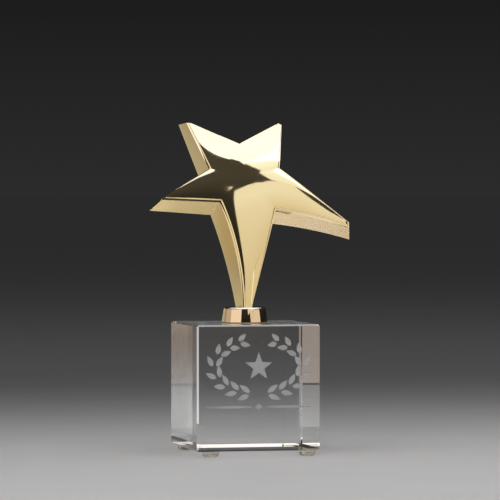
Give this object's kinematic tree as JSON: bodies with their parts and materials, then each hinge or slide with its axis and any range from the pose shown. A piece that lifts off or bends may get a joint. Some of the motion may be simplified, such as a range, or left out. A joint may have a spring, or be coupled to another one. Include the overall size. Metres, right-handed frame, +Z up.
{
  "type": "crystal award",
  "caption": "Free-standing award: a swept gold star on one arm, bolted to a gold collar that is bonded on a clear crystal cube with bumper feet.",
  "frame": {"origin": "centre of the award's outline on the surface that it stands on; the cube, collar and screw share an upright axis 6.6 mm to the left of it, because the star reaches further to the right", "axes": "+X to the right seen from the front, +Y to the back, +Z up; the star's face looks along -Y and leans back 15 degrees"},
  "size_m": [0.0996, 0.06, 0.1595],
  "materials": {
    "gold_plate": "mirror-polished pale gold plating on cast zinc and turned brass",
    "crystal": "clear optical crystal, polished, with frosted artwork on the front",
    "bumper": "clear soft polyurethane, slightly yellowed",
    "adhesive": "clear cured adhesive film",
    "steel": "zinc-plated steel"
  },
  "bodies": {
    "root": {"star_casting": "gold_plate", "collar": "gold_plate", "crystal_cube": "crystal", "glue_disc": "adhesive", "star_screw": "steel", "screw_washer": "steel", "foot_front_left": "bumper", "foot_front_right": "bumper", "foot_back_left": "bumper", "foot_back_right": "bumper", "pad_front_left": "adhesive", "pad_front_right": "adhesive", "pad_back_left": "adhesive", "pad_back_right": "adhesive"}
  },
  "joints": []
}
